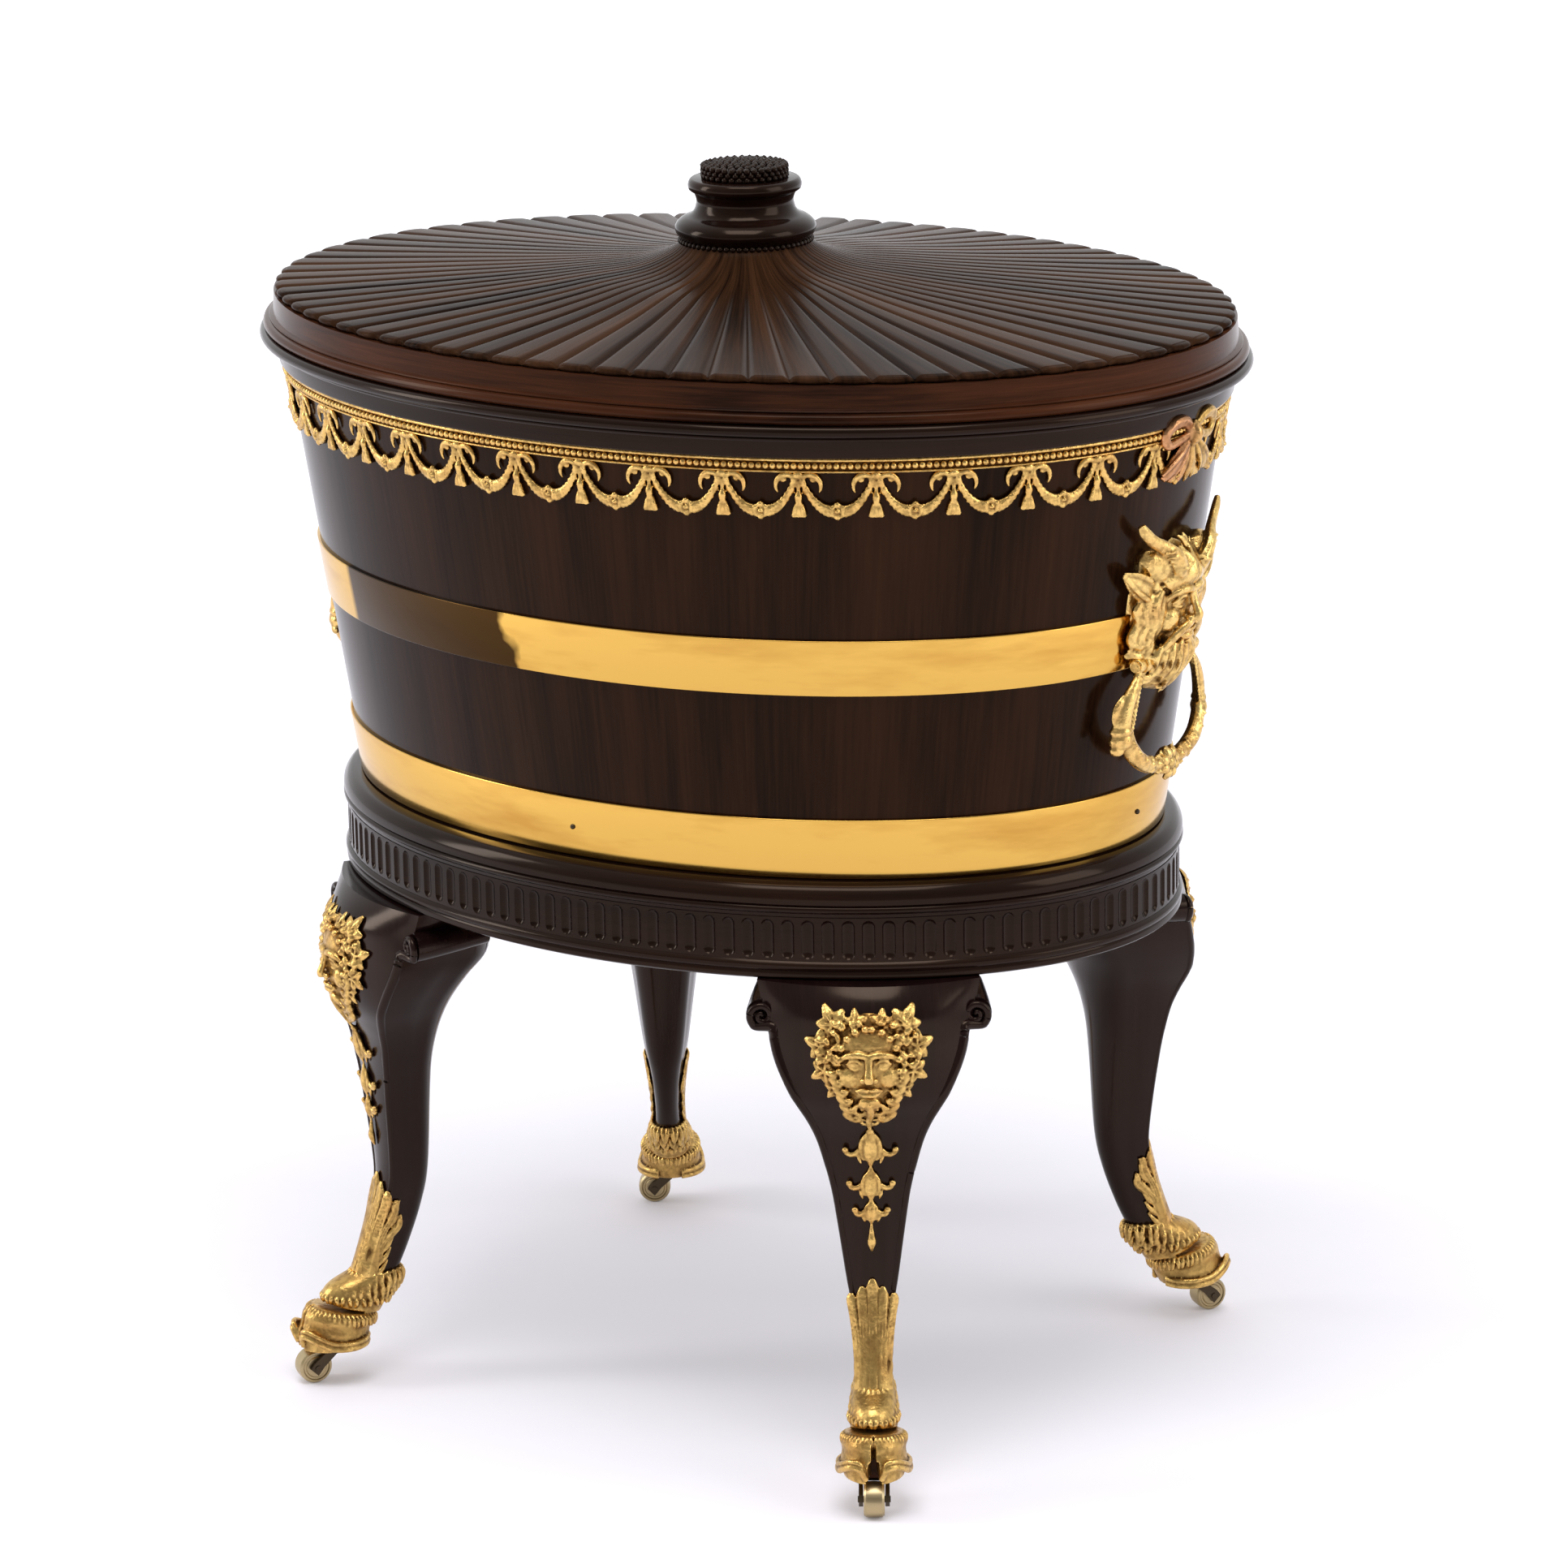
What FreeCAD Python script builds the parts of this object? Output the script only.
"""Oval cellarette: a lidded, brass-bound tub that lifts out of a stand on four cabriole legs.

Millimetres, +Z up. The origin is on the floor under the middle of the oval, +X runs along the
length. Every oval is an ellipse given by its half length; its half depth is smaller by a fixed
difference, so that mouldings keep an even width all round.
"""
import FreeCAD
import Part
import math
import os

V = FreeCAD.Vector
os.makedirs("parts", exist_ok=True)

# Heights, stacked from the floor up
sole_height = 23.5             # floor to the soles of the hooves
leg_height = 299.6             # soles to the underside of the stand
apron_bead_height = 11.4
rail_height = 27.5
seat_rise = 4.0                # tub seat above the top of the rail
stand_lip_rise = 16.3          # lip of the stand above the tub seat
tub_height = 284.0             # foot of the tub to the neck under its rim
rim_height = 21.2
lid_edge_height = 22.8         # lid seam to the seat of the reeded crown
crown_rise = 37.5              # reeded crown, edge to collar

# Ovals
tub_foot_half_length = 271.8
tub_flare = 0.1483             # growth of the half length for each mm of height
tub_depth_difference = 79.5    # half length less half depth, tub and lid
stand_extra_depth = 3.5        # the stand is this much deeper for its length
stave_thickness = 14.0
rail_thickness = 30.0
seat_clearance = 1.3           # tub to the lip of the stand
lip_width = 9.4                # flat of the lip outside the tub

# Tub
stave_count = 24
bottom_board_thickness = 18.0
hoop_thickness = 2.0
lower_hoop_base, lower_hoop_width = 17.3, 38.0       # base above the tub's foot
upper_hoop_base, upper_hoop_width = 134.9, 35.0
liner_thickness = 1.6
liner_gap = 1.0
liner_flange_width = 9.0
rim_roll_out = 14.4            # widest roll of the rim outside the staves
lid_tongue_depth, lid_tongue_clearance = 7.0, 2.5
swag_count = 38
swag_band_height = 9.1
swag_band_out = 3.6
swag_drop = 27.0
swag_start = 0.28              # share of a swag by which the row is turned round the tub
garland_gap = 0.1              # garland to the staves, so that flat facets clear the curve
clasp_half_width, clasp_height, clasp_out = 29.0, 43.0, 7.5

# Lid and finial
reed_count = 72
reed_groove_depth = 2.2
reed_nose = 4.4                # height of the reeds' rounded outer ends
collar_radius = 40.5
finial_bead_radius = 44.0
finial_base_height = 37.6
finial_height = 48.7           # collar to the tip of the berry cap
screw_entry = 3.0              # how far the screw enters the cap
finial_screw_radius = 4.0
screw_hole_clearance = 0.4
screw_head = 2.2

# Stand
flute_count = 128
flute_width, flute_depth, flute_margin = 8.0, 2.0, 1.5
bearer_offset, bearer_width, bearer_height = 104.0, 28.0, 26.0
corner_block_width, corner_block_depth = 72.0, 34.0
tenon_width, tenon_thickness, tenon_height = 44.0, 16.0, 26.0

# Legs: a knee under the stand, a shank, and an ankle over the hoof
leg_angle = 49.4               # where each leg stands, as the eccentric angle of the oval
ear_radius, ear_spread, ear_drop, ear_length = 8.4, 63.5, 20.5, 49.5
ear_front = -1.5               # front of the ears, outside the face of the rail
ear_eye_rise = 1.4             # eye of the scroll, proud of its end
edge_bead = 4.6
mount_thickness = 2.4
mount_reach = 60.0             # depth of the tools that cut the mounts to outline
sabot_thickness = 1.6
ankle_height = 46.0            # sole to the end of the wood inside the sabot

# Castors
wheel_radius, wheel_width = 11.0, 12.5
castor_trail = 12.0
castor_reach = 42.0            # leg's face to the castor stem, outward
stem_radius, stem_length = 3.95, 20.0
stem_clearance = 0.05
axle_radius, axle_clearance = 2.0, 0.06
wheel_side_gap = 0.5
cheek_thickness = 2.6
castor_crown = 4.2             # plate of the fork under the sole
side_turned_castor = 213.8     # heading of the one castor that rests turned sideways, degrees

# Handles at the two ends
handle_pivot_rise = 2.9        # pivot above the lower edge of the upper hoop
handle_stand_off = 4.2         # pivot axis outside the upper hoop, at the very end
lug_inner, lug_width = 21.5, 6.0
lug_radius = 5.4
eye_width, eye_radius = 6.2, 4.4
eye_side_gap = 0.4
pin_radius, pin_clearance = 2.0, 0.06
ring_drop = 66.5               # pivot to the middle of the bottom flower
ring_half_width = 47.0         # middle of the arms at their widest
ring_flatness = 0.72           # depth of the arms as a share of their width
ring_bow = 3.2                 # how far the arms bend back to follow the tub
flower_radius, flower_thickness = 11.2, 12.0

# Levels that follow from the stack
apron_z = sole_height + leg_height
rail_z = apron_z + apron_bead_height
rail_top_z = rail_z + rail_height
seat_z = rail_top_z + seat_rise
stand_top_z = seat_z + stand_lip_rise
neck_z = seat_z + tub_height
seam_z = neck_z + rim_height
crown_z = seam_z + lid_edge_height
collar_z = crown_z + crown_rise
stand_half_length = (tub_foot_half_length + tub_flare * stand_lip_rise
                     + seat_clearance + lip_width)
stand_depth_difference = tub_depth_difference - stand_extra_depth
over = 1.0                     # how far a cutting tool runs past a face


def save(shape, name):
    """Write one sub-part to its STEP file."""
    shape.exportStep("parts/" + name + ".step")


def tub_half_length(z):
    """Half length of the staves' outer face at a height."""
    return tub_foot_half_length + tub_flare * (z - seat_z)


def oval_wire(half_length, z, difference):
    return Part.Wire(Part.Ellipse(V(0, 0, z), half_length, half_length - difference).toShape())


def oval_solid(profile, difference=tub_depth_difference):
    """Solid oval turned from a profile of (half length, z) points, bottom to top."""
    return Part.makeLoft([oval_wire(a, z, difference) for a, z in profile], True, True)


def through(profile):
    """The same profile, run straight past both of its ends, for a cut."""
    first, last = profile[0], profile[-1]
    return [(first[0], first[1] - over)] + profile + [(last[0], last[1] + over)]


def oval_ring(outer, inner, difference=tub_depth_difference):
    return oval_solid(outer, difference).cut(oval_solid(through(inner), difference))


def tub_band(z0, z1, inner_out, outer_out):
    """Ring that hugs the tub between two heights and two distances out from the staves."""
    outer = [(tub_half_length(z) + outer_out, z) for z in (z0, z1)]
    inner = [(tub_half_length(z) + inner_out, z) for z in (z0 - over, z1 + over)]
    return oval_solid(outer).cut(oval_solid(inner))


def polygon_wire(points):
    return Part.makePolygon([V(*p) for p in points] + [V(*points[0])])


def prism(points, direction):
    """Prism from a flat polygon of 3-D points and an extrusion vector."""
    return Part.Face(polygon_wire(points)).extrude(V(*direction))


def mirrored_outline(half):
    """Closed (across, z) outline from its right half, given top to bottom."""
    left = [(-across, z) for across, z in reversed(half) if across > 0]
    return half + left


def turned(profile, sides=0):
    """Solid turned about Z from (radius, z) points; with sides it is a polygonal turning."""
    if sides == 0:
        z0, z1 = profile[0][1], profile[-1][1]
        closed = [(0, z0)] + profile + [(0, z1)]
        face = Part.Face(Part.makePolygon([V(r, 0, z) for r, z in closed + closed[:1]]))
        return face.revolve(V(0, 0, 0), V(0, 0, 1), 360)
    wires = []
    for r, z in profile:
        corners = [2 * math.pi * (k + 0.5) / sides for k in range(sides)]
        wires.append(polygon_wire([(r * math.cos(c), r * math.sin(c), z) for c in corners]))
    return Part.makeLoft(wires, True, True)


def tapered_rod(stations, sides=8, flatness=1.0):
    """Faceted rod through (centre, radius) stations, thinner by the flatness square to its bend."""
    wires = []
    last = len(stations) - 1
    for k, (centre, radius) in enumerate(stations):
        along = stations[min(k + 1, last)][0] - stations[max(k - 1, 0)][0]
        along.normalize()
        side = along.cross(V(1, 0, 0))
        if side.Length < 0.3:
            side = along.cross(V(0, 1, 0))
        side.normalize()
        up = side.cross(along)
        points = []
        for corner in range(sides):
            turn = 2 * math.pi * (corner + 0.5) / sides
            points.append(centre + side * (radius * math.cos(turn))
                          + up * (flatness * radius * math.sin(turn)))
        wires.append(Part.makePolygon(points + points[:1]))
    return Part.makeLoft(wires, True, True)


def oval_stations(half_length, half_depth, count, first=0.0):
    """Eccentric angles that divide an ellipse into equal arcs, the first some share past +X."""
    steps = 1440
    lengths = [0.0]
    for k in range(steps):
        middle = 2 * math.pi * (k + 0.5) / steps
        speed = math.hypot(half_length * math.sin(middle), half_depth * math.cos(middle))
        lengths.append(lengths[-1] + speed)
    angles = []
    k = 0
    for station in range(count):
        target = lengths[-1] * (station + first) / count
        while lengths[k + 1] < target:
            k += 1
        share = (target - lengths[k]) / (lengths[k + 1] - lengths[k])
        angles.append(2 * math.pi * (k + share) / steps)
    return angles


def oval_normal(half_length, half_depth, angle):
    """Outward direction of the ellipse at an eccentric angle."""
    normal = V(math.cos(angle) / half_length, math.sin(angle) / half_depth, 0)
    return normal.normalize()


# ---------------------------------------------------------------- stand frame

def stand_inner():
    return stand_half_length - rail_thickness


def stand_top_moulding():
    """Lip that the tub drops into: a bead, a hollow and a rounded top."""
    a, z = stand_half_length, rail_top_z
    outer = [(a - 0.4, z), (a + 0.4, z + 2.5), (a + 1.8, z + 3.8), (a + 1.8, z + 6.2),
             (a + 0.6, z + 7.4), (a + 2.0, z + 8.6), (a + 1.6, z + 13.2),
             (a - 0.4, z + 17), (a - 3.2, z + 19.4), (a - 7.2, stand_top_z)]
    body = oval_solid(outer, stand_depth_difference)
    mouth = [(tub_half_length(stand_top_z) + seat_clearance, level)
             for level in (seat_z, stand_top_z + over)]
    body = body.cut(oval_solid(mouth))
    opening = [(stand_inner(), level) for level in (rail_top_z - over, seat_z + over)]
    return body.cut(oval_solid(opening, stand_depth_difference))


def flute_tool():
    """Round-ended cutter for one flute, upright on the Z axis."""
    radius = ((flute_width / 2) ** 2 + flute_depth ** 2) / (2 * flute_depth)
    low = rail_z + flute_margin + flute_width / 2
    high = rail_top_z - flute_margin - flute_width / 2
    edges = [Part.LineSegment(V(0, 0, low - radius), V(0, 0, high + radius)).toShape(),
             Part.Arc(V(0, 0, high + radius),
                      V(radius * math.sin(math.pi / 4), 0, high + radius * math.cos(math.pi / 4)),
                      V(radius, 0, high)).toShape(),
             Part.LineSegment(V(radius, 0, high), V(radius, 0, low)).toShape(),
             Part.Arc(V(radius, 0, low),
                      V(radius * math.sin(math.pi / 4), 0, low - radius * math.cos(math.pi / 4)),
                      V(0, 0, low - radius)).toShape()]
    capsule = Part.Face(Part.Wire(edges)).revolve(V(0, 0, 0), V(0, 0, 1), 360)
    return capsule, radius - flute_depth


def stand_frieze():
    """Oval rail with a row of round-ended flutes."""
    a, b = stand_half_length, stand_half_length - stand_depth_difference
    levels = (rail_z, rail_top_z)
    rail = oval_ring([(a, z) for z in levels], [(stand_inner(), z) for z in levels],
                     stand_depth_difference)
    tool, axis_out = flute_tool()
    tools = []
    for angle in oval_stations(a, b, flute_count):
        spot = V(a * math.cos(angle), b * math.sin(angle), 0)
        flute = tool.copy()
        flute.translate(spot + oval_normal(a, b, angle) * axis_out)
        tools.append(flute)
    return rail.cut(Part.makeCompound(tools))


def stand_lower_moulding():
    a, z = stand_half_length, apron_z
    outer = [(a - 0.8, z), (a + 1.4, z + 1.6), (a + 1.5, z + 4.4), (a + 0.9, z + 5.6),
             (a + 1.8, z + 7.0), (a + 1.9, z + 9.4), (a + 0.2, rail_z)]
    inner = [(stand_inner(), z), (stand_inner(), rail_z)]
    return oval_ring(outer, inner, stand_depth_difference)


def frame_space(z0, z1):
    """The room inside the oval frame between two heights."""
    levels = [(stand_inner(), z0), (stand_inner(), z1)]
    return oval_solid(levels, stand_depth_difference)


def cross_bearers():
    """Two bars across the frame that carry the middle of the tub."""
    bars = []
    for side in (-1, 1):
        bar = Part.makeBox(bearer_width, 2 * stand_half_length, bearer_height,
                           V(side * bearer_offset - bearer_width / 2, -stand_half_length,
                             seat_z - bearer_height))
        bars.append(bar.common(frame_space(seat_z - bearer_height, seat_z)))
    return Part.makeCompound(bars)


# ---------------------------------------------------------------- legs

def leg_spot(side_x, side_y):
    """Where a leg meets the face of the rail, and the heading it stands out in."""
    a, b = stand_half_length, stand_half_length - stand_depth_difference
    angle = math.radians(leg_angle)
    spot = V(side_x * a * math.cos(angle), side_y * b * math.sin(angle), 0)
    normal = oval_normal(a, b, angle)
    return spot, math.degrees(math.atan2(side_y * normal.y, side_x * normal.x))


def at_leg(shape, side_x, side_y):
    """Carry a shape from the leg's frame (X outward, Y sideways) to one of the four legs."""
    spot, heading = leg_spot(side_x, side_y)
    placed = shape.copy()
    placed.rotate(V(0, 0, 0), V(0, 0, 1), heading)
    placed.translate(spot)
    return placed


def leg_stations():
    """Sections down the leg: z, front middle, front edge, half width, back middle, bead height."""
    knee = [(0, 13.0, -4.0, 67.0, -62.0, 0.6), (8, 20.0, -2.4, 65.4, -65.0, 1.0),
            (16, 24.6, -0.4, 63.4, -67.5, 1.4), (27, 26.2, 3.9, 61.0, -70.5, 1.6),
            (41, 27.7, 8.3, 58.2, -70.0, 1.6), (54, 27.0, 12.6, 53.6, -58.0, 1.6),
            (68, 24.6, 15.2, 46.8, -47.5, 1.6), (82, 18.8, 12.4, 38.8, -40.5, 1.6),
            (96, 13.6, 8.9, 32.8, -35.8, 1.6), (113, 10.4, 6.6, 28.0, -32.4, 1.5),
            (136, 8.2, 4.4, 23.0, -30.8, 1.4)]
    ankle = [(112.0, 4.4, 0.9, 15.9, -28.2, 0.6), (86.5, 9.6, 5.9, 11.6, -23.0, 0.2),
             (62.0, 18.0, 13.4, 9.6, -14.0, 0.2), (ankle_height, 24.0, 18.4, 10.0, -6.5, 0.2)]
    return ([(apron_z - drop, *rest) for drop, *rest in knee]
            + [(sole_height + rise, *rest) for rise, *rest in ankle])


def leg_section(z, front, edge, half_width, back, bead):
    """D-shaped section with a bead along each front edge, a ridge each side and a round back."""
    side_x = edge + 0.58 * (back - edge)
    side_y = 0.84 * half_width
    inner_y = half_width - min(edge_bead, 0.3 * half_width)
    panel_x = edge + 0.12 * (front - edge)
    edges = []
    for flip in (1, -1):
        panel_end = V(panel_x, flip * inner_y, z)
        crest = V(panel_x + bead, flip * (inner_y + half_width) / 2, z)
        corner = V(edge - bead, flip * half_width, z)
        ridge = V(side_x, flip * side_y, z)
        if flip == 1:
            edges += [Part.Arc(panel_end, crest, corner).toShape(),
                      Part.LineSegment(corner, ridge).toShape(),
                      Part.Arc(ridge, V(back, 0, z), V(side_x, -side_y, z)).toShape()]
        else:
            edges += [Part.LineSegment(ridge, corner).toShape(),
                      Part.Arc(corner, crest, panel_end).toShape(),
                      Part.Arc(panel_end, V(front, 0, z), V(panel_x, inner_y, z)).toShape()]
    return Part.Wire(edges)


def grown_section(z, front, edge, half_width, back, grow):
    """Plain D section of the leg, larger all round."""
    side_x = edge + 0.58 * (back - edge)
    side_y = 0.84 * half_width + grow
    wide = half_width + grow
    return Part.Wire([
        Part.Arc(V(edge + grow, -wide, z), V(front + grow, 0, z), V(edge + grow, wide, z)).toShape(),
        Part.LineSegment(V(edge + grow, wide, z), V(side_x, side_y, z)).toShape(),
        Part.Arc(V(side_x, side_y, z), V(back - grow, 0, z), V(side_x, -side_y, z)).toShape(),
        Part.LineSegment(V(side_x, -side_y, z), V(edge + grow, -wide, z)).toShape()])


def leg_front(z):
    """How far out the middle of the leg's front stands at a height."""
    rows = leg_stations()
    for high, low in zip(rows, rows[1:]):
        if high[0] >= z >= low[0]:
            share = (high[0] - z) / (high[0] - low[0])
            return high[1] + share * (low[1] - high[1])
    return rows[-1][1]


def leg_wood():
    """Cabriole leg with scroll ears and the tenon that enters its corner block."""
    body = Part.makeLoft([leg_section(*row) for row in leg_stations()], True, False)
    for side in (-1, 1):
        back = V(ear_front - ear_length, side * ear_spread, apron_z - ear_drop)
        roll = Part.makeCylinder(ear_radius, ear_length, back, V(1, 0, 0))
        eye = Part.makeCylinder(ear_radius * 0.4, ear_length + ear_eye_rise, back, V(1, 0, 0))
        body = body.fuse(roll).fuse(eye)
    middle = -rail_thickness - corner_block_depth / 2
    tenon = Part.makeBox(tenon_thickness, tenon_width, tenon_height + over,
                         V(middle - tenon_thickness / 2, -tenon_width / 2, apron_z - over))
    return body.fuse(tenon).removeSplitter()


def corner_block():
    """Block inside the frame with a mortise for the leg's tenon, in the leg's frame."""
    block = Part.makeBox(corner_block_depth, corner_block_width, rail_top_z - apron_z,
                         V(-rail_thickness - corner_block_depth, -corner_block_width / 2, apron_z))
    front = Part.makeBox(rail_thickness, corner_block_width, rail_top_z - apron_z,
                         V(-rail_thickness, -corner_block_width / 2, apron_z))
    middle = -rail_thickness - corner_block_depth / 2
    mortise = Part.makeBox(tenon_thickness, tenon_width, tenon_height + over,
                           V(middle - tenon_thickness / 2, -tenon_width / 2, apron_z - over))
    return block.fuse(front).removeSplitter().cut(mortise)


def corner_blocks():
    room = frame_space(apron_z, rail_top_z)
    blocks = [at_leg(corner_block(), sx, sy).common(room) for sx in (-1, 1) for sy in (-1, 1)]
    return Part.makeCompound(blocks)


# ---------------------------------------------------------------- knee mounts and sabots

def knee_outline():
    """Vine-leaf spread around the mask, then a drop of three husks and a bud."""
    top = apron_z - 2
    spread = [(0, top), (13, top - 1), (20, top - 8), (30, top - 9), (38.5, top - 22),
              (32, top - 31), (37.5, top - 43), (27, top - 52), (24, top - 64),
              (13, top - 70), (7, top - 82), (0, top - 84)]
    shapes = [spread]
    for drop, half_width in ((97.5, 18.5), (125.5, 14.5), (144.5, 10.5)):
        z = top - drop
        w = half_width
        shapes.append([(0, z + 0.75 * w), (0.3 * w, z + 0.35 * w), (0.9 * w, z + 0.4 * w),
                       (w, z - 0.1 * w), (0.45 * w, z - 0.3 * w), (0.3 * w, z - w), (0, z - 1.15 * w)])
    shapes.append([(0, top - 84), (2.0, top - 86), (1.6, top - 157), (4.5, top - 161),
                   (3.2, top - 166), (0, top - 169)])
    return [mirrored_outline(half) for half in shapes]


def knee_face():
    """Plain egg of the mask's head with a nose, standing on the knee."""
    top = apron_z - 2
    wires = []
    for drop, half_width, out in ((62, 5, 5), (55, 11, 8), (46, 15, 9.6), (36, 17, 10.2),
                                  (26, 16, 9.6), (17, 13, 7.6), (11, 8, 5)):
        z = top - drop
        corners = [2 * math.pi * k / 12 for k in range(12)]
        wires.append(polygon_wire([(leg_front(z) - 2 + out * math.cos(c), half_width * math.sin(c), z)
                                   for c in corners]))
    egg = Part.makeLoft(wires, True, True)
    z = top - 44
    base = leg_front(z) + 4
    nose = Part.makeLoft([polygon_wire([(base, -3.5, z), (base + 7, -1.8, z), (base + 7, 1.8, z),
                                        (base, 3.5, z)]),
                          polygon_wire([(base, -2.0, z + 13), (base + 4, -1.0, z + 13),
                                        (base + 4, 1.0, z + 13), (base, 2.0, z + 13)])], True, True)
    return egg.fuse(nose)


def knee_mount(leg):
    """Cast mask and husk drop that lie on the front of the leg."""
    rows = [row for row in leg_stations() if row[0] > sole_height + 100]
    skin = Part.makeLoft([grown_section(*row[:5], mount_thickness) for row in rows], True, False)
    shapes = [prism([(0, across, z) for across, z in outline], (mount_reach, 0, 0))
              for outline in knee_outline()]
    cutter = shapes[0].multiFuse(shapes[1:])
    return skin.common(cutter).fuse(knee_face()).cut(leg)


def tilted_oval(front, back, half_width):
    """Oval wire between a front and a back (x, z) point, level across the leg."""
    centre = V((front[0] + back[0]) / 2, 0, (front[1] + back[1]) / 2)
    half = V((front[0] - back[0]) / 2, 0, (front[1] - back[1]) / 2)
    points = []
    for k in range(20):
        turn = 2 * math.pi * (k + 0.5) / 20
        points.append(centre + half * math.cos(turn) + V(0, half_width * math.sin(turn), 0))
    return Part.makePolygon(points + points[:1])


def hoof():
    """Fetlock roll, inclined groove, coronet and cloven hoof, in the leg's frame."""
    s = sole_height
    rows = [((26.6, s + ankle_height), (-8.1, s + ankle_height), 12.4),
            ((41.0, s + 40.0), (-1.6, s + 38.5), 13.6),
            ((46.0, s + 34.0), (1.6, s + 28.8), 14.6),
            ((44.0, s + 28.8), (8.0, s + 18.5), 14.6),
            ((56.0, s + 26.0), (12.5, s + 17.0), 19.4),
            ((60.0, s + 22.5), (14.2, s + 13.5), 20.6),
            ((60.5, s + 19.0), (15.4, s + 11.5), 19.4),
            ((66.5, s + 7.0), (16.8, s + 4.0), 21.7),
            ((67.0, s), (17.6, s), 21.9)]
    body = Part.makeLoft([tilted_oval(*row) for row in rows], True, True)
    cleft = prism([(castor_reach + stem_radius + 4, 0, s + 26.5),
                   (castor_reach + stem_radius + 4, 3.7, s + 8.5),
                   (castor_reach + stem_radius + 4, 3.0, s - over),
                   (castor_reach + stem_radius + 4, -3.0, s - over),
                   (castor_reach + stem_radius + 4, -3.7, s + 8.5)], (mount_reach, 0, 0))
    bore = Part.makeCylinder(stem_radius + stem_clearance, stem_length + 2 * over,
                             V(castor_reach, 0, s - over), V(0, 0, 1))
    return body.cut(cleft).cut(bore)


def sabot(leg):
    """Cast shoe: a leafed sleeve up the front of the ankle over the cloven hoof."""
    s = sole_height
    rows = [row for row in leg_stations() if row[0] < s + 140]
    sleeve = Part.makeLoft([grown_section(*row[:5], sabot_thickness) for row in rows], True, False)
    diagonal = prism([(-40, -40, s + ankle_height - over), (60, -40, s + ankle_height - over),
                      (60, -40, s + 88), (24, -40, s + 80), (8, -40, s + 68), (-14, -40, s + 43)],
                     (0, 80, 0))
    front_leaf = prism([(0, across, z) for across, z in mirrored_outline(
        [(0, s + 112), (4, s + 103), (9, s + 98), (6.5, s + 90), (11, s + 80), (11, s + 60),
         (0, s + 60)])], (60, 0, 0))
    side_leaf = prism([(-9, -40, s + 60), (13, -40, s + 76), (9, -40, s + 88), (1, -40, s + 97),
                       (-5, -40, s + 88), (-10, -40, s + 74)], (0, 80, 0))
    cover = diagonal.multiFuse([front_leaf, side_leaf])
    return sleeve.common(cover).fuse(hoof()).cut(leg)


# ---------------------------------------------------------------- castors

def castor_fork():
    """Horn with its swivel stem: axis on Z, wheel trailing along +X."""
    top = sole_height
    crown_low = top - castor_crown
    cheek_in = wheel_width / 2 + wheel_side_gap
    cheek_out = cheek_in + cheek_thickness
    stem = Part.makeCylinder(stem_radius, stem_length, V(0, 0, top), V(0, 0, 1))
    crown = prism([(-7, -cheek_out + 2, crown_low), (-4, -cheek_out, crown_low),
                   (3, -cheek_out, crown_low), (3, cheek_out, crown_low),
                   (-4, cheek_out, crown_low), (-7, cheek_out - 2, crown_low)],
                  (0, 0, castor_crown))
    horn = crown
    hub = axle_radius + 2.8
    for side in (-1, 1):
        y = side * (cheek_in + cheek_thickness / 2) - cheek_thickness / 2
        arm = prism([(-4, y, top), (3, y, top), (castor_trail + 2, y, wheel_radius + hub - 1),
                     (castor_trail + hub, y, wheel_radius), (castor_trail, y, wheel_radius - hub),
                     (castor_trail - hub, y, wheel_radius + 1), (-1, y, crown_low)],
                    (0, cheek_thickness, 0))
        horn = horn.fuse(arm)
    hole = Part.makeCylinder(axle_radius, 4 * cheek_out, V(castor_trail, -2 * cheek_out, wheel_radius),
                             V(0, 1, 0))
    return horn.fuse(stem).cut(hole).removeSplitter()


def castor_wheel():
    """Brass wheel with slightly rounded tread edges and a running bore."""
    half = wheel_width / 2
    profile = [(wheel_radius - 1.2, -half), (wheel_radius, -half + 1.5), (wheel_radius, half - 1.5),
               (wheel_radius - 1.2, half)]
    wheel = turned(profile)
    wheel = wheel.cut(Part.makeCylinder(axle_radius + axle_clearance, wheel_width + 2 * over,
                                        V(0, 0, -half - over), V(0, 0, 1)))
    wheel.rotate(V(0, 0, 0), V(1, 0, 0), 90)
    wheel.translate(V(castor_trail, 0, wheel_radius))
    return wheel


def castor_axle():
    reach = wheel_width / 2 + wheel_side_gap + cheek_thickness + 0.6
    return Part.makeCylinder(axle_radius, 2 * reach, V(castor_trail, -reach, wheel_radius), V(0, 1, 0))


def at_castor(shape, side_x, side_y):
    """Carry a castor piece to its hoof, turned to the heading it rests in."""
    spot, heading = leg_spot(side_x, side_y)
    turn = math.radians(heading)
    centre = spot + V(castor_reach * math.cos(turn), castor_reach * math.sin(turn), 0)
    if (side_x, side_y) == (-1, 1):
        heading = side_turned_castor
    placed = shape.copy()
    placed.rotate(V(0, 0, 0), V(0, 0, 1), heading)
    placed.translate(centre)
    return placed


# ---------------------------------------------------------------- tub

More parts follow.
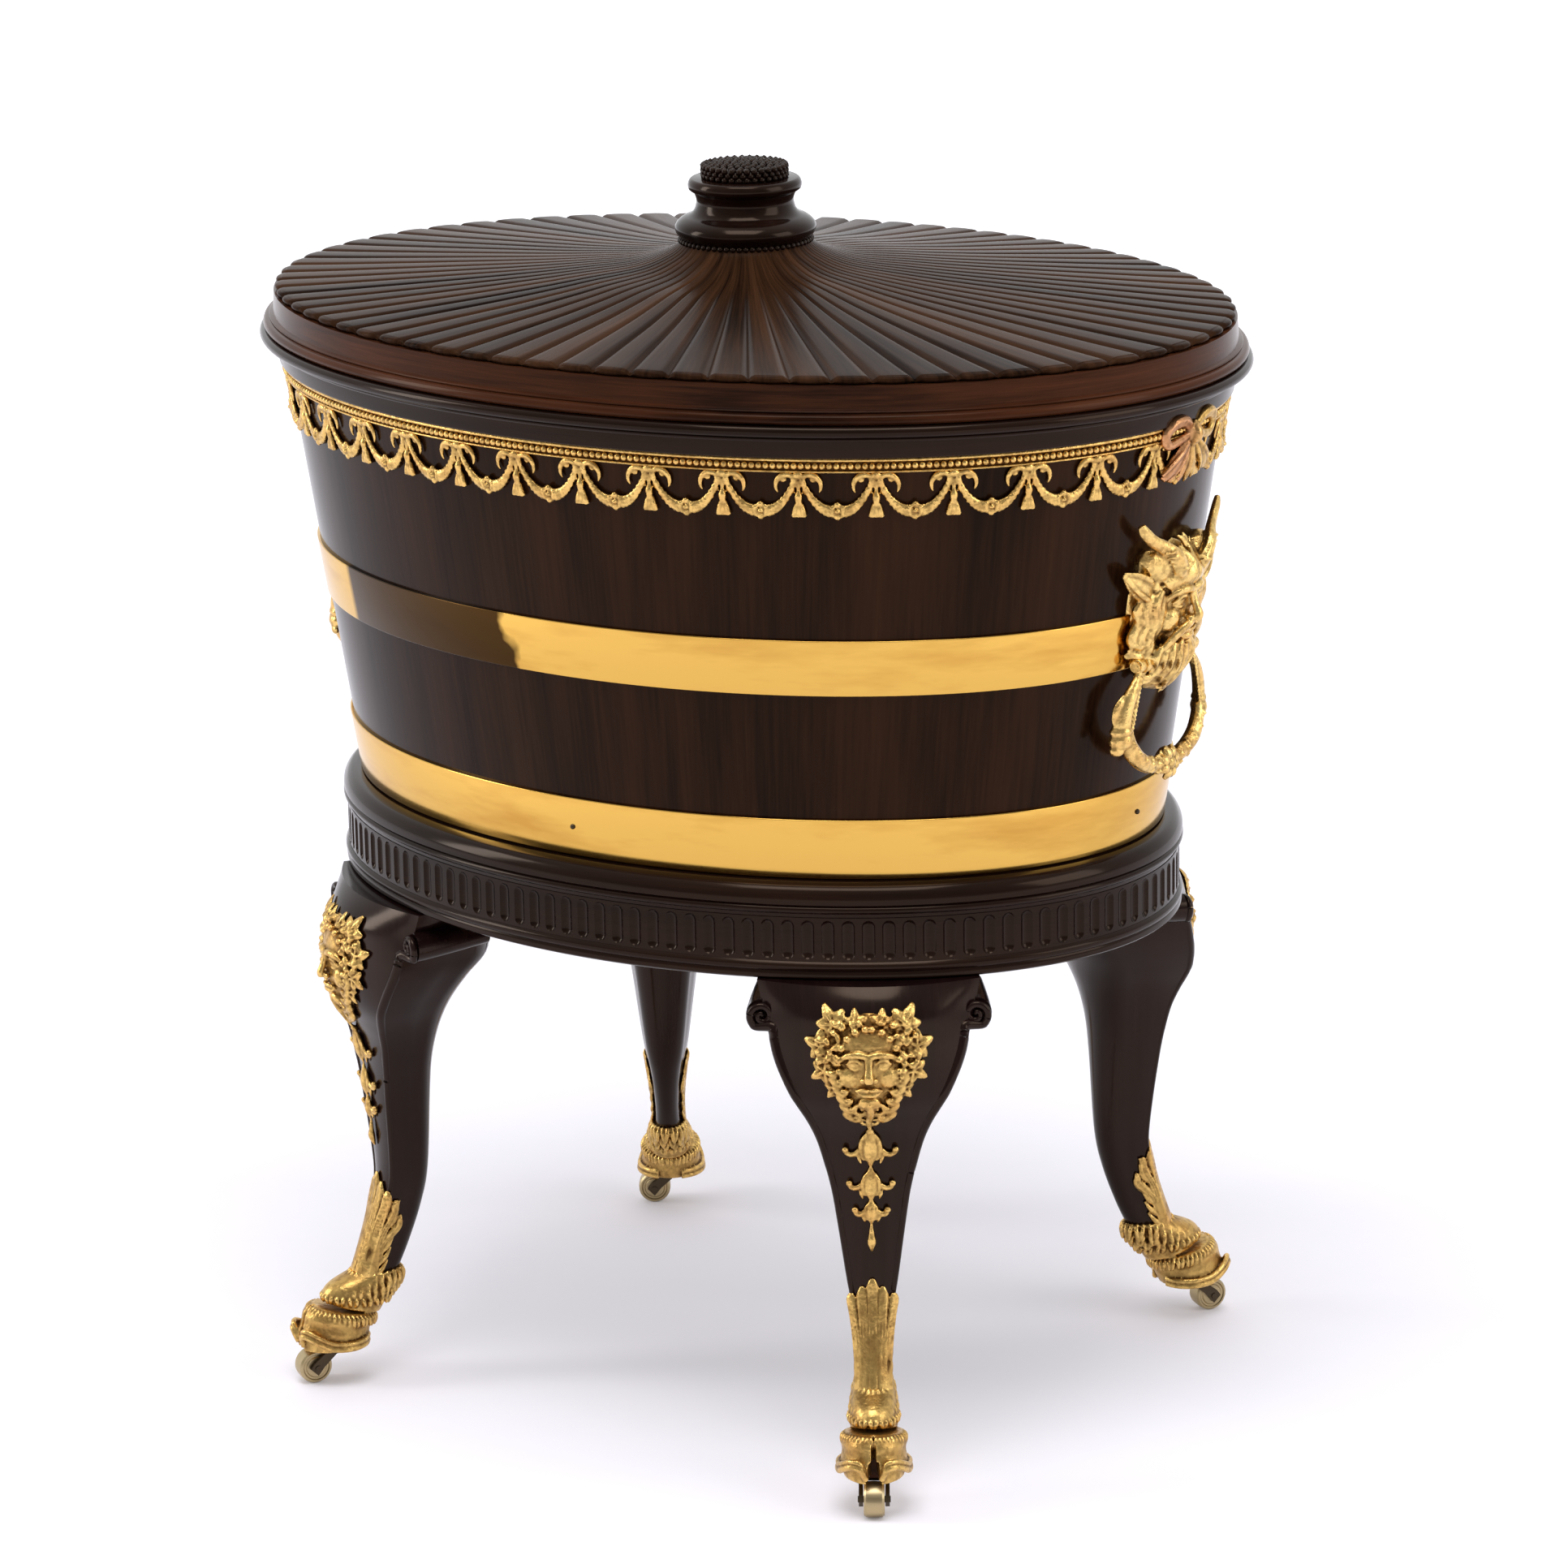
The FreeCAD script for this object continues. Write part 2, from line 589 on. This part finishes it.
def tub_staves():
    """Coopered wall: separate tapered staves set edge to edge round the oval."""
    foot = tub_half_length(seat_z)
    angles = oval_stations(foot, foot - tub_depth_difference, stave_count)
    staves = []
    for start, end in zip(angles, angles[1:] + [2 * math.pi]):
        wires = []
        for z in (seat_z, neck_z):
            a = tub_half_length(z)
            b = a - tub_depth_difference
            outer = Part.Ellipse(V(0, 0, z), a, b).toShape(start, end)
            inner = Part.Ellipse(V(0, 0, z), a - stave_thickness,
                                 b - stave_thickness).toShape(start, end)
            sides = [Part.LineSegment(outer.Vertexes[k].Point, inner.Vertexes[k].Point).toShape()
                     for k in (0, 1)]
            wires.append(Part.Wire(Part.__sortEdges__([outer, sides[1], inner, sides[0]])))
        staves.append(Part.makeLoft(wires, True, True))
    return Part.makeCompound(staves)


def tub_bottom_board():
    levels = (seat_z, seat_z + bottom_board_thickness)
    return oval_solid([(tub_half_length(z) - stave_thickness, z) for z in levels])


def liner_half_length(z):
    return tub_half_length(z) - stave_thickness - liner_gap


def metal_liner():
    """Open metal trough that hangs by its flange in the rim."""
    low = seat_z + bottom_board_thickness
    shelf = seam_z - 2 * liner_thickness
    outer = oval_solid([(liner_half_length(z), z) for z in (low, shelf)])
    flange = oval_solid([(liner_half_length(shelf) + liner_flange_width, z)
                         for z in (shelf, shelf + liner_thickness)])
    room = oval_solid([(liner_half_length(low) - liner_thickness, low + liner_thickness),
                       (liner_half_length(shelf) - liner_thickness, shelf),
                       (liner_half_length(shelf) - liner_thickness, seam_z)])
    return outer.fuse(flange).cut(room)


def rim_core():
    """Solid oval with the rim's outside: neck, bead, undercut and the main roll."""
    a, z = tub_half_length(neck_z), neck_z
    roll = a + rim_roll_out
    return oval_solid([(a + 3.6, z), (a + 4.8, z + 1.2), (a + 5.0, z + 10.4), (a + 8.4, z + 11.0),
                       (a + 8.9, z + 12.4), (a + 8.4, z + 13.6), (roll - 4.2, z + 14.2),
                       (roll + 1.2, z + 15.0), (roll + 2.2, z + 16.6), (roll + 2.2, z + 18.4),
                       (roll + 1.2, z + 20.2), (roll - 1.6, seam_z)])


def rim_moulding():
    """Rim over the staves, with a shelf for the liner's flange."""
    a, z = tub_half_length(neck_z), neck_z
    shelf = seam_z - 2 * liner_thickness
    fit = liner_gap / 2
    mouth = liner_half_length(shelf) + fit
    lower_room = oval_solid([(a - stave_thickness, z - over), (a - stave_thickness, z),
                             (mouth, shelf), (mouth, seam_z + over)])
    upper_room = oval_solid([(mouth + liner_flange_width, level) for level in (shelf, seam_z + over)])
    return rim_core().cut(lower_room).cut(upper_room)


def tub_hoop(base, width):
    return tub_band(seat_z + base, seat_z + base + width, 0, hoop_thickness)


def on_tub(angle, z, out):
    """Point at a height and a distance out from the staves, in the upright plane at an angle."""
    a = tub_half_length(neck_z)
    b = a - tub_depth_difference
    spot = V(a * math.cos(angle), b * math.sin(angle), z)
    return spot + oval_normal(a, b, angle) * (out - tub_flare * (neck_z - z))


def garland_unit(start, end, low):
    """Solid between two hanging points: half a tassel, a swag with its flower, half a tassel."""
    half = ((0, 0, 27.0, 4.6), (0.07, 0, 25.5, 3.8), (0.11, 0, 11.0, 2.8), (0.19, 1.6, 7.6, 2.2),
            (0.30, 8.0, 14.0, 2.4), (0.40, 12.4, 19.6, 3.0), (0.45, 11.8, 24.0, 4.0))
    stations = list(half) + [(1 - share, top, foot, out) for share, top, foot, out in reversed(half)]
    wires = []
    for share, top, foot, out in stations:
        angle = start + share * (end - start)
        high, deep = low - top * swag_drop / 27, low - foot * swag_drop / 27
        rib = high - 0.4 * (high - deep)
        points = [on_tub(angle, high, garland_gap), on_tub(angle, high - 0.2, 0.6 * out),
                  on_tub(angle, rib, out), on_tub(angle, deep, 0.6 * out),
                  on_tub(angle, deep, garland_gap)]
        wires.append(Part.makePolygon(points + points[:1]))
    return Part.makeLoft(wires, True, True)


def frieze_mount():
    """Gilt band with a garland of swags and tassels under it, open between them."""
    top = neck_z
    low = top - swag_band_height
    a = tub_half_length(low)
    band = oval_solid([(a + swag_band_out - 1.4, low), (a + swag_band_out, low + 2.0),
                       (a + swag_band_out + 0.4, top - 2.2), (a + swag_band_out - 0.6, top)])
    band = band.cut(oval_solid([(tub_half_length(low - over), low - over),
                                (tub_half_length(top + over), top + over)]))
    clasp_room = [end_prism(clasp_outline(), side) for side in (-1, 1)]
    pieces = band.cut(clasp_room[0]).cut(clasp_room[1]).Solids
    stations = oval_stations(a, a - tub_depth_difference, swag_count, swag_start)
    for start, end in zip(stations, stations[1:] + [stations[0] + 2 * math.pi]):
        unit = garland_unit(start, end, low)
        if abs(unit.BoundBox.Center.y) < 2 * clasp_half_width:
            unit = unit.cut(clasp_room[0]).cut(clasp_room[1])
        pieces += unit.Solids
    return Part.makeCompound(pieces)


def end_prism(outline, side):
    """Prism through one end of the tub from an outline of (across, z) points."""
    reach = tub_half_length(neck_z) + 60
    return prism([(side * 150, across, z) for across, z in outline], (side * (reach - 150), 0, 0))


def clasp_outline():
    """Draped bow: a knot, two loops and two hanging folds."""
    top = neck_z + 5
    w, h = clasp_half_width, clasp_height
    return mirrored_outline([(0, top), (6, top - 1), (12, top + 0.5), (0.72 * w, top - 3),
                             (0.93 * w, top - 11), (0.86 * w, top - 18), (w, top - 24),
                             (0.9 * w, top - 34), (0.66 * w, top - 0.86 * h), (0.5 * w, top - 29),
                             (0.3 * w, top - 26), (6, top - 0.9 * h), (0, top - h)])


def end_clasp(side):
    shell = tub_band(neck_z + 5 - clasp_height - over, neck_z + 5, 0, clasp_out)
    clasp = shell.common(end_prism(clasp_outline(), side))
    knot = Part.makeSphere(8.5, V(side * (tub_half_length(neck_z) + 4.5), 0, neck_z - 9))
    wall = oval_solid([(tub_half_length(z), z) for z in (seat_z, neck_z)])
    return clasp.fuse(knot).cut(wall).cut(rim_core())


# ---------------------------------------------------------------- handles

def pivot_point(side):
    z = seat_z + upper_hoop_base + handle_pivot_rise
    x = tub_half_length(z) + hoop_thickness + handle_stand_off
    return V(side * x, 0, z)


def mask_outline():
    """Edge of the handle mask: horns, ears, cheeks and a forked beard."""
    z = pivot_point(1).z
    return mirrored_outline([(0, z + 68), (10, z + 67), (20, z + 70), (27, z + 66), (31, z + 57),
                             (44, z + 61), (53, z + 60), (49, z + 52), (41, z + 44), (38, z + 34),
                             (40, z + 22), (38, z + 8), (lug_inner + lug_width, z + lug_radius + 0.6),
                             (lug_inner + lug_width, z - 6), (24, z - 9), (17, z - 23), (9, z - 17),
                             (0, z - 25)])


def mask_face(side):
    """Plain head of the mask, in level oval sections from beard to brow."""
    pivot = pivot_point(side)
    wires = []
    for rise, half_width, out in ((-23, 6, 11), (-10, 16, 14), (4, 20, 17), (19, 25, 19),
                                  (35, 26, 19), (50, 25, 17), (61, 19, 13), (67, 10, 8)):
        z = pivot.z + rise
        centre = tub_half_length(z)
        corners = [2 * math.pi * (k + 0.5) / 14 for k in range(14)]
        wires.append(polygon_wire([(side * (centre + out * math.cos(c)), half_width * math.sin(c), z)
                                   for c in corners]))
    head = Part.makeLoft(wires, True, True)
    z = pivot.z + 25
    x = tub_half_length(z) + 14
    nose = Part.makeLoft([polygon_wire([(side * x, -5.5, z), (side * (x + 8.5), -3, z),
                                        (side * (x + 8.5), 3, z), (side * x, 5.5, z)]),
                          polygon_wire([(side * x, -3, z + 22), (side * (x + 4.5), -1.6, z + 22),
                                        (side * (x + 4.5), 1.6, z + 22), (side * x, 3, z + 22)])],
                         True, True)
    return head.fuse(nose)


def mask_horn(side, flank):
    pivot = pivot_point(side)
    path = ((15, 55, 17, 7.4), (20, 68, 15, 6.8), (30, 77, 12, 5.2), (40, 83, 9, 3.8),
            (49, 89, 7, 2.0))
    stations = []
    for across, rise, out, radius in path:
        x = math.sqrt(max(0.0, 1 - (across / (tub_half_length(pivot.z + rise)
                                              - tub_depth_difference)) ** 2))
        x = x * tub_half_length(pivot.z + rise) + out * 0.55
        stations.append((V(side * x, flank * across, pivot.z + rise), radius))
    return tapered_rod(stations)


def handle_lug(side, flank):
    """Ear on the mask that carries one pivot pin."""
    pivot = pivot_point(side)
    y = flank * lug_inner if flank > 0 else -lug_inner - lug_width
    ear = Part.makeCylinder(lug_radius, lug_width, V(pivot.x, y, pivot.z), V(0, 1, 0))
    depth = handle_stand_off + hoop_thickness + stave_thickness / 2
    low_x = pivot.x - depth if side > 0 else pivot.x
    root = Part.makeBox(depth, lug_width, 2 * lug_radius, V(low_x, y, pivot.z - lug_radius))
    return ear.fuse(root)


def tub_core():
    """Everything that the mask lies against: the wall and the upper hoop."""
    wall = oval_solid([(tub_half_length(z), z) for z in (seat_z, neck_z)])
    low, high = seat_z + upper_hoop_base, seat_z + upper_hoop_base + upper_hoop_width
    hoop = oval_solid([(tub_half_length(z) + hoop_thickness, z) for z in (low, high)])
    return wall.fuse(hoop)


def handle_mask(side):
    """Horned mask at one end of the tub with two lugs for the ring handle."""
    pivot = pivot_point(side)
    shell = tub_band(pivot.z - 30, pivot.z + 80, -over, hoop_thickness + 3.2)
    body = shell.common(end_prism(mask_outline(), side)).fuse(mask_face(side))
    for flank in (-1, 1):
        body = body.fuse(mask_horn(side, flank)).fuse(handle_lug(side, flank))
    body = body.cut(tub_core())
    for flank in (-1, 1):
        y = flank * lug_inner if flank > 0 else -lug_inner - lug_width
        body = body.cut(Part.makeCylinder(pin_radius, lug_width + 2 * over,
                                          V(pivot.x, y - over, pivot.z), V(0, 1, 0)))
    return body


def handle_pins(side):
    """Two headed pins that the ring swings on."""
    pivot = pivot_point(side)
    length = lug_width + eye_side_gap + eye_width + eye_side_gap
    pins = []
    for flank in (-1, 1):
        shank = Part.makeCylinder(pin_radius, length, V(pivot.x, flank * lug_inner, pivot.z),
                                  V(0, flank, 0))
        head = Part.makeCylinder(pin_radius + 1.4, 1.4, V(pivot.x, flank * (lug_inner + length), pivot.z),
                                 V(0, flank, 0))
        pins.append(shank.fuse(head).removeSplitter())
    return Part.makeCompound(pins)


def ring_handle(side):
    """Hanging ring: an eye, a swelling cornucopia each side and a flower at the bottom."""
    pivot = pivot_point(side)
    eye_y = lug_inner + lug_width + eye_side_gap + eye_width / 2
    w, d = ring_half_width, ring_drop
    half = ((eye_y - 0.8, 0, 2.2), (eye_y + 1, 8, 2.6), (w - 6.5, 16, 6.0), (w - 1.5, 25, 8.5),
            (w, 35, 9.0), (w, 44, 9.5), (w - 4, 52, 7.0), (w - 11, 57, 6.0), (0.45 * w, d - 5, 5.5),
            (0, d - 3.5, 5.5))

    def spot(y, drop):
        bend = ring_bow * ((abs(y) - eye_y) / (w - eye_y)) ** 2 if abs(y) > eye_y else 0
        return V(pivot.x - side * bend, y, pivot.z - drop)

    stations = [(spot(y, drop), r) for y, drop, r in half]
    stations += [(spot(-y, drop), r) for y, drop, r in reversed(half[:-1])]
    ring = tapered_rod(stations, 8, ring_flatness)
    flower = turned([(0.55 * flower_radius, -flower_thickness / 2), (flower_radius, -2.0),
                     (flower_radius, 2.0), (0.55 * flower_radius, flower_thickness / 2)], 10)
    flower.rotate(V(0, 0, 0), V(0, 1, 0), 90)
    flower.translate(V(pivot.x, 0, pivot.z - d))
    ring = ring.fuse(flower)
    for flank in (-1, 1):
        y = flank * eye_y - eye_width / 2
        eye = Part.makeCylinder(eye_radius, eye_width, V(pivot.x, y, pivot.z), V(0, 1, 0))
        trim = Part.makeBox(20, 20, 40, V(pivot.x - 10, y - 20 if flank > 0 else y + eye_width,
                                          pivot.z - 20))
        hole = Part.makeCylinder(pin_radius + pin_clearance, eye_width + 2 * over,
                                 V(pivot.x, y - over, pivot.z), V(0, 1, 0))
        ring = ring.cut(trim).fuse(eye).cut(hole)
    return ring


# ---------------------------------------------------------------- lid

def lid_edge_half_length():
    return tub_half_length(neck_z) + rim_roll_out


def lid_board():
    """Oval board with a moulded edge and a tongue that drops into the liner."""
    a, z = lid_edge_half_length(), seam_z
    outer = [(a - 3.0, z), (a - 1.4, z + 1.0), (a - 0.8, z + 3.0), (a - 0.9, z + 4.8),
             (a - 2.6, z + 6.4), (a - 4.8, z + 6.8), (a - 5.2, z + 8.4), (a - 6.8, z + 9.2),
             (a - 7.8, crown_z)]
    tongue = liner_half_length(seam_z - lid_tongue_depth) - liner_thickness - lid_tongue_clearance
    board = oval_solid(outer)
    drop = oval_solid([(tongue, seam_z - lid_tongue_depth), (tongue, seam_z)])
    board = board.fuse(drop)
    return board.cut(screw_hole(seam_z - lid_tongue_depth, crown_z))


def screw_hole(z0, z1):
    return Part.makeCylinder(finial_screw_radius + screw_hole_clearance, z1 - z0 + 2 * over,
                             V(0, 0, z0 - over), V(0, 0, 1))


def crown_ring(half_length, z, roundness, depth):
    """One closed line round the crown: every reed has a groove, two shoulders and a ridge."""
    edge = crown_edge_half_length()
    angles = oval_stations(edge, edge - tub_depth_difference, reed_count * 8)
    points = []
    for reed in range(reed_count):
        for step, sink in ((0, 1.0), (1, 0.34), (4, 0.0), (7, 0.34)):
            angle = angles[reed * 8 + step]
            rim = V(edge * math.cos(angle), (edge - tub_depth_difference) * math.sin(angle), 0)
            circle = rim * (half_length / rim.Length)
            oval = rim * (half_length / edge)
            spot = circle * roundness + oval * (1 - roundness)
            points.append(V(spot.x, spot.y, z - sink * depth))
    return Part.makePolygon(points + points[:1])


def crown_edge_half_length():
    return lid_edge_half_length() - 8.6


def lid_crown():
    """Reeded top: reeds run in from the edge and sweep up to a round collar."""
    a, g = crown_edge_half_length(), reed_groove_depth
    z, rise = crown_z, crown_rise
    rings = [crown_ring(a, z, 0, 0), crown_ring(a, z + g + 0.4, 0, g),
             crown_ring(a - 0.6 * reed_nose, z + reed_nose, 0, g),
             crown_ring(0.6 * a, z + 0.34 * rise, 0.2, 0.7 * g),
             crown_ring(0.31 * a, z + 0.53 * rise, 1, 0.38 * g),
             crown_ring(0.215 * a, z + 0.62 * rise, 1, 0.28 * g),
             crown_ring(0.16 * a, z + 0.77 * rise, 1, 0.2 * g),
             crown_ring(collar_radius, z + rise, 1, 0)]
    crown = Part.makeLoft(rings, True, True)
    return crown.cut(screw_hole(crown_z, collar_z))


def finial_base():
    """Turned foot of the knob: bead, hollow neck and flange."""
    z, r, top = collar_z, finial_bead_radius, collar_z + finial_base_height
    profile = [(r - 4, z), (r - 1.2, z + 2.4), (r, z + 5.6), (r - 0.9, z + 9.0), (r - 3.8, z + 11.6),
               (r - 5.6, z + 13.4), (r - 10.4, z + 16.0), (r - 13.0, z + 19.6), (r - 13.8, z + 23.6),
               (r - 12.8, z + 27.6), (r - 10.6, z + 29.6), (r - 9.2, z + 33.0), (r - 9.0, z + 35.4),
               (r - 11.4, top)]
    return turned(profile).cut(screw_hole(z, top))


def finial_cap():
    """Domed cap of leaves and berries, screwed down from inside the lid."""
    z = collar_z + finial_base_height
    top = collar_z + finial_height
    cap = turned([(26.4, z), (27.0, z + 2.2), (26.6, z + 5.6), (24.0, top - 2.6), (14, top - 0.6),
                  (5, top)], 18)
    return cap.cut(Part.makeCylinder(finial_screw_radius + screw_hole_clearance, screw_entry + over,
                                     V(0, 0, z - over), V(0, 0, 1)))


def finial_screw():
    """Long screw with a round head under the lid board."""
    low = seam_z - lid_tongue_depth
    high = collar_z + finial_base_height + screw_entry
    shank = Part.makeCylinder(finial_screw_radius, high - low, V(0, 0, low), V(0, 0, 1))
    head = Part.makeCylinder(finial_screw_radius * 2.4, screw_head, V(0, 0, low - screw_head),
                             V(0, 0, 1))
    return shank.fuse(head).removeSplitter()


# ---------------------------------------------------------------- write the sub-parts

corners = {"front_left": (-1, -1), "front_right": (1, -1), "back_left": (-1, 1), "back_right": (1, 1)}
ends = {"left": -1, "right": 1}

save(stand_top_moulding(), "stand_top_moulding")
save(stand_frieze(), "stand_fluted_rail")
save(stand_lower_moulding(), "stand_lower_moulding")
save(cross_bearers(), "cross_bearers")
save(corner_blocks(), "corner_blocks")

leg_shape = leg_wood()
knee_shape = knee_mount(leg_shape)
sabot_shape = sabot(leg_shape)
for corner, (x_side, y_side) in corners.items():
    save(at_leg(leg_shape, x_side, y_side), "leg_" + corner)
    save(at_leg(knee_shape, x_side, y_side), "knee_mount_" + corner)
    save(at_leg(sabot_shape, x_side, y_side), "hoof_sabot_" + corner)
    save(at_castor(castor_fork(), x_side, y_side), "castor_fork_" + corner)
    save(at_castor(castor_wheel(), x_side, y_side), "castor_wheel_" + corner)
    save(at_castor(castor_axle(), x_side, y_side), "castor_axle_" + corner)

save(tub_staves(), "tub_staves")
save(tub_bottom_board(), "tub_bottom_board")
save(metal_liner(), "metal_liner")
save(rim_moulding(), "rim_moulding")
save(tub_hoop(lower_hoop_base, lower_hoop_width), "lower_hoop")
save(tub_hoop(upper_hoop_base, upper_hoop_width), "upper_hoop")
save(frieze_mount(), "frieze_mount")
for end, x_side in ends.items():
    save(end_clasp(x_side), "end_clasp_" + end)
    save(handle_mask(x_side), "handle_mask_" + end)
    save(handle_pins(x_side), "handle_pins_" + end)
    save(ring_handle(x_side), "ring_handle_" + end)

save(lid_board(), "lid_board")
save(lid_crown(), "lid_reeded_crown")
save(finial_base(), "finial_base")
save(finial_cap(), "finial_berry_cap")
save(finial_screw(), "finial_screw")
